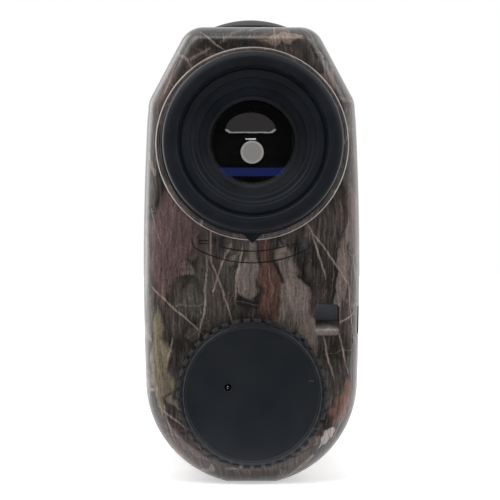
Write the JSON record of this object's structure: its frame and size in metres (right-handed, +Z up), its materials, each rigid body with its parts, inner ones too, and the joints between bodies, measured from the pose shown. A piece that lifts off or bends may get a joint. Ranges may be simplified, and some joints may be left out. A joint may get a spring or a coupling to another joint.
{
  "type": "laser rangefinder",
  "caption": "Compact upright monocular laser rangefinder with a camouflage shell, turning rubber eyecup, screw-on battery cap and a top button.",
  "frame": {"origin": "centre of the overall box on the plane of the foot", "axes": "+Z up, +Y from the eyepiece towards the objective, +X to the right as the user looks in"},
  "size_m": [0.0342, 0.091, 0.0741],
  "materials": {
    "camo_shell": "satin",
    "black_bezel": "satin",
    "rubber": "matte",
    "button_rubber": "satin",
    "cap_plastic": "satin",
    "frame_plastic": "matte",
    "black_metal": "satin",
    "steel": "satin",
    "holder_metal": "satin",
    "gold_can": "polished",
    "contact_metal": "polished",
    "coated_glass": "polished",
    "prism_glass": "polished",
    "receiver_glass": "polished",
    "board": "satin",
    "chip_black": "matte",
    "chip_ceramic": "satin",
    "flex_film": "satin",
    "plunger_plastic": "satin",
    "cell_wrap": "gloss"
  },
  "bodies": {
    "housing": {"rear_cover": "camo_shell", "main_casing": "camo_shell", "front_bezel": "black_bezel", "rear_gasket": "rubber", "front_gasket": "rubber", "button_seal": "rubber", "inner_frame": "frame_plastic", "battery_tube": "frame_plastic", "receiver_cone": "frame_plastic", "display_frame": "frame_plastic", "tact_switch": "frame_plastic", "eyepiece_barrel": "black_metal", "ring_retainer": "black_metal", "objective_tube": "black_metal", "objective_cell": "black_metal", "objective_nut": "black_metal", "receiver_nut": "black_metal", "prism_cage": "black_metal", "cover_screws": "steel", "cage_screws": "steel", "board_screws": "steel", "shield_can": "steel", "laser_holder": "holder_metal", "laser_diode": "gold_can", "photodiode": "gold_can", "positive_contact": "contact_metal", "objective_crown": "coated_glass", "objective_flint": "coated_glass", "half_prism": "prism_glass", "roof_prism": "prism_glass", "display_panel": "prism_glass", "receiver_lens": "receiver_glass", "receiver_filter": "receiver_glass", "main_board": "board", "switch_board": "board", "receiver_board": "board", "processor_chip": "chip_black", "board_chips": "chip_black", "capacitors": "chip_ceramic", "display_flex": "flex_film", "switch_flex": "flex_film"},
    "button": {"power_button": "button_rubber"},
    "plunger": {"switch_plunger": "plunger_plastic"},
    "diopter": {"eyecup": "rubber", "diopter_ring": "camo_shell"},
    "ocular": {"ocular_cell": "black_metal", "cell_o_ring": "rubber", "eye_lens": "coated_glass", "field_lens": "coated_glass", "ocular_spacer": "black_metal", "ocular_nut": "black_metal", "cam_pin": "steel"},
    "cap_carrier": {"contact_disc": "contact_metal", "contact_spring": "steel"},
    "cap": {"battery_cap": "cap_plastic", "cap_o_ring": "rubber"},
    "cell": {"battery_cell": "cell_wrap"}
  },
  "joints": [
    {"name": "button_press", "type": "slide", "parent": "housing", "child": "button", "axis": [0, 0, -1], "range_m": [0, 0.0006], "stiffness_N_per_m": 2000, "springref_m": -0.0005},
    {"name": "plunger_press", "type": "slide", "parent": "housing", "child": "plunger", "axis": [0, 0, -1], "range_m": [0, 0.0006]},
    {"name": "diopter_turn", "type": "hinge", "parent": "housing", "child": "diopter", "pos_m": [0, -0.038, 0.0532], "axis": [0, -1, 0], "range_deg": [-28, 28]},
    {"name": "focus_slide", "type": "slide", "parent": "housing", "child": "ocular", "axis": [0, 1, 0], "range_m": [-0.00085, 0.00085]},
    {"name": "cap_withdraw", "type": "slide", "parent": "housing", "child": "cap_carrier", "axis": [0, -1, 0], "range_m": [0, 0.0037]},
    {"name": "cap_turn", "type": "hinge", "parent": "cap_carrier", "child": "cap", "pos_m": [0, -0.036, 0.0141], "axis": [0, -1, 0], "range_deg": [0, 1080]},
    {"name": "cell_slide", "type": "slide", "parent": "housing", "child": "cell", "axis": [0, -1, 0], "range_m": [0, 0.0019]}
  ],
  "couplings": [
    {"joint": "plunger_press", "follows": "button_press", "ratio": 1},
    {"joint": "focus_slide", "follows": "diopter_turn", "m_per_rad": 0.001637},
    {"joint": "cap_withdraw", "follows": "cap_turn", "m_per_rad": 0.00019099},
    {"joint": "cell_slide", "follows": "cap_turn", "m_per_rad": 0.00009549}
  ]
}
